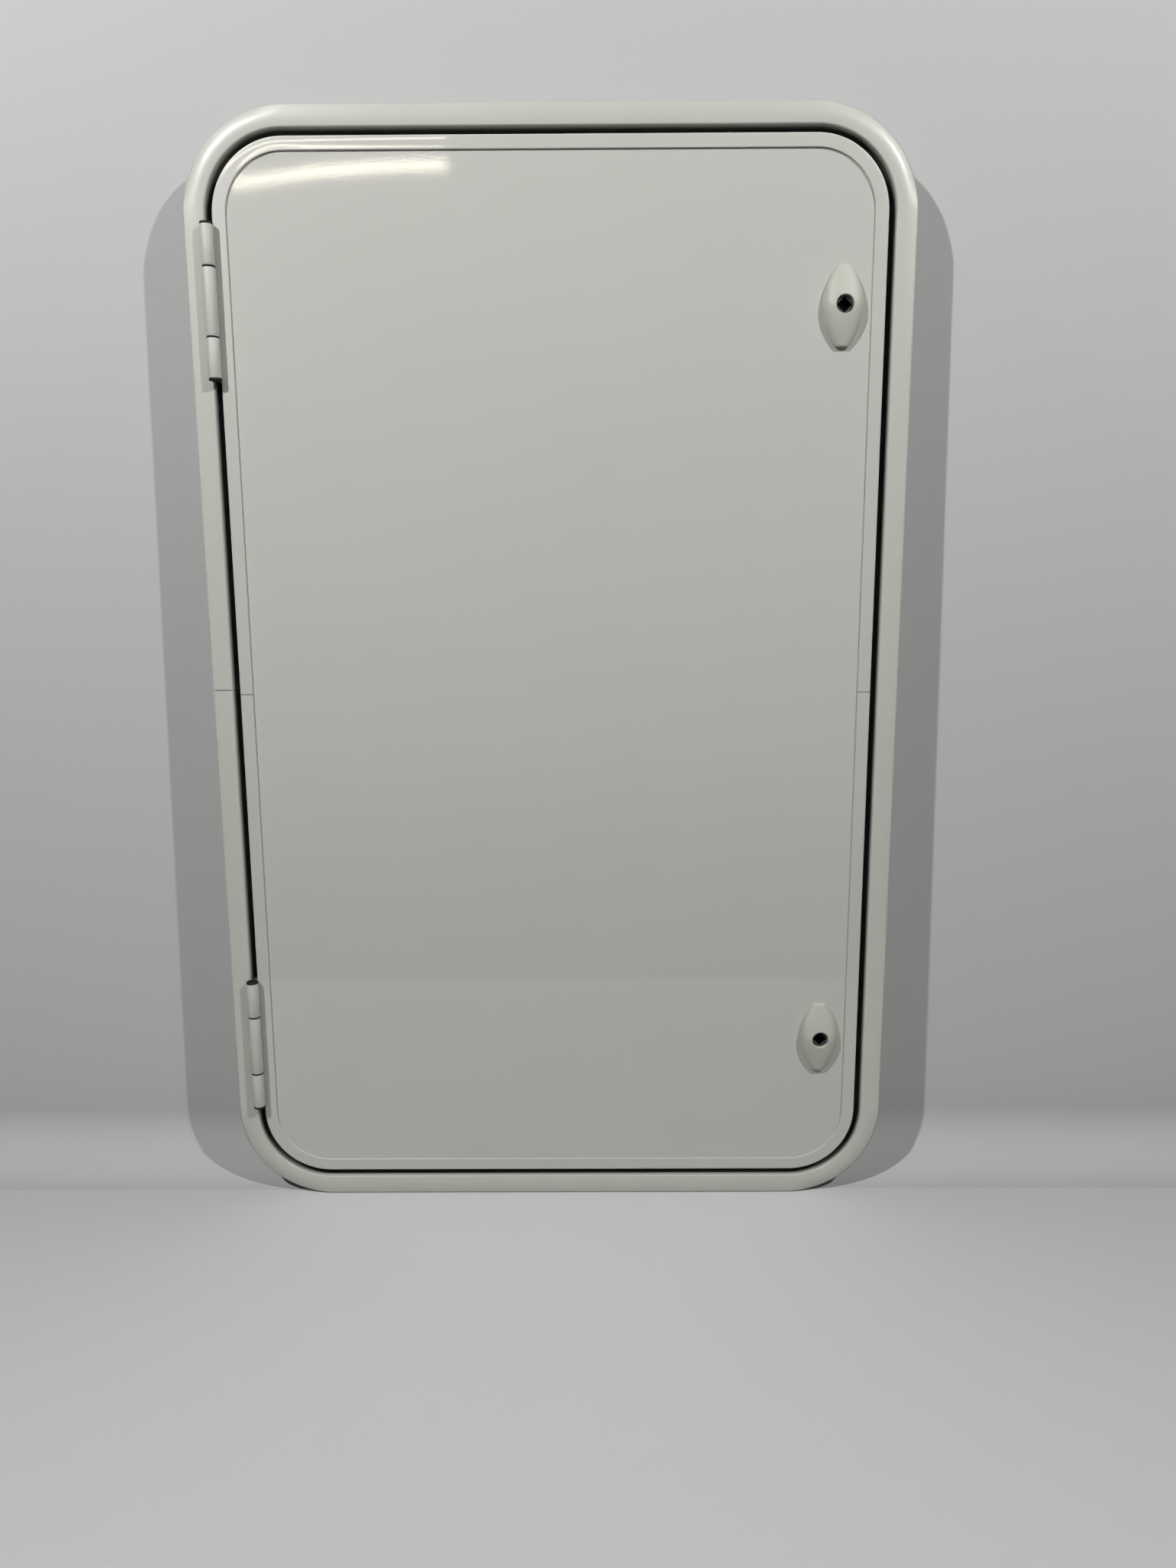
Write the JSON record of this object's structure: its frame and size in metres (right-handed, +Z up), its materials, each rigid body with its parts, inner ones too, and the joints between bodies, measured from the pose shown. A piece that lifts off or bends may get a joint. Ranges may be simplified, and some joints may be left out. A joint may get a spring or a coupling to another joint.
{
  "type": "caravan service door",
  "caption": "Flush service door for a caravan's side wall: a rounded panel in an edge trim, hung on barrel hinges in a bent flanged frame, with domed turn locks.",
  "frame": {"origin": "on the back of the frame's flange, which lies on the wall's outer skin, in the middle of the bottom rail", "axes": "+Z up the door, +X to the right as seen from outside, +Y through the wall towards the inside; the front of the door looks along -Y"},
  "size_m": [0.6, 0.0503, 0.95],
  "materials": {
    "painted_aluminium": "satin warm grey-white powder coat",
    "gloss_sheet": "gloss warm grey-white sheet",
    "moulded_plastic": "satin moulded plastic",
    "black_plastic": "matt black",
    "rubber": "matt black rubber",
    "foam": "rigid white foam",
    "bare_aluminium": "mill finish",
    "zinc_steel": "zinc plated"
  },
  "bodies": {
    "frame": {"frame": "painted_aluminium", "frame_joiner": "bare_aluminium", "frame_seal": "rubber", "hinge_upper_frame_leaf": "painted_aluminium", "hinge_upper_pin": "zinc_steel", "hinge_upper_washer_top": "black_plastic", "hinge_upper_washer_bottom": "black_plastic", "hinge_upper_cap_top": "black_plastic", "hinge_upper_cap_bottom": "black_plastic", "hinge_upper_frame_rivet_top": "zinc_steel", "hinge_upper_frame_rivet_bottom": "zinc_steel", "hinge_lower_frame_leaf": "painted_aluminium", "hinge_lower_pin": "zinc_steel", "hinge_lower_washer_top": "black_plastic", "hinge_lower_washer_bottom": "black_plastic", "hinge_lower_cap_top": "black_plastic", "hinge_lower_cap_bottom": "black_plastic", "hinge_lower_frame_rivet_top": "zinc_steel", "hinge_lower_frame_rivet_bottom": "zinc_steel"},
    "leaf": {"door_trim_upper": "painted_aluminium", "door_trim_lower": "painted_aluminium", "door_trim_joiner_left": "bare_aluminium", "door_trim_joiner_right": "bare_aluminium", "door_skin_outer": "gloss_sheet", "door_core": "foam", "door_skin_inner": "gloss_sheet", "hinge_upper_door_leaf": "painted_aluminium", "hinge_upper_door_rivet_top": "zinc_steel", "hinge_upper_door_rivet_bottom": "zinc_steel", "lock_upper_housing": "moulded_plastic", "lock_upper_backplate": "painted_aluminium", "lock_upper_screw_top": "zinc_steel", "lock_upper_screw_bottom": "zinc_steel", "hinge_lower_door_leaf": "painted_aluminium", "hinge_lower_door_rivet_top": "zinc_steel", "hinge_lower_door_rivet_bottom": "zinc_steel", "lock_lower_housing": "moulded_plastic", "lock_lower_backplate": "painted_aluminium", "lock_lower_screw_top": "zinc_steel", "lock_lower_screw_bottom": "zinc_steel"},
    "lock_upper": {"lock_upper_core": "moulded_plastic", "lock_upper_tongue": "zinc_steel", "lock_upper_tongue_screw": "zinc_steel"},
    "lock_lower": {"lock_lower_core": "moulded_plastic", "lock_lower_tongue": "zinc_steel", "lock_lower_tongue_screw": "zinc_steel"}
  },
  "joints": [
    {"name": "door_hinge", "type": "hinge", "parent": "frame", "child": "leaf", "pos_m": [-0.279, -0.015, 0.466], "axis": [0, 0, -1], "range_deg": [0, 180]},
    {"name": "lock_upper_turn", "type": "hinge", "parent": "leaf", "child": "lock_upper", "pos_m": [0.2407, 0, 0.7845], "axis": [0, -1, 0], "range_deg": [0, 90]},
    {"name": "lock_lower_turn", "type": "hinge", "parent": "leaf", "child": "lock_lower", "pos_m": [0.2407, 0, 0.1475], "axis": [0, -1, 0], "range_deg": [0, 90]}
  ]
}
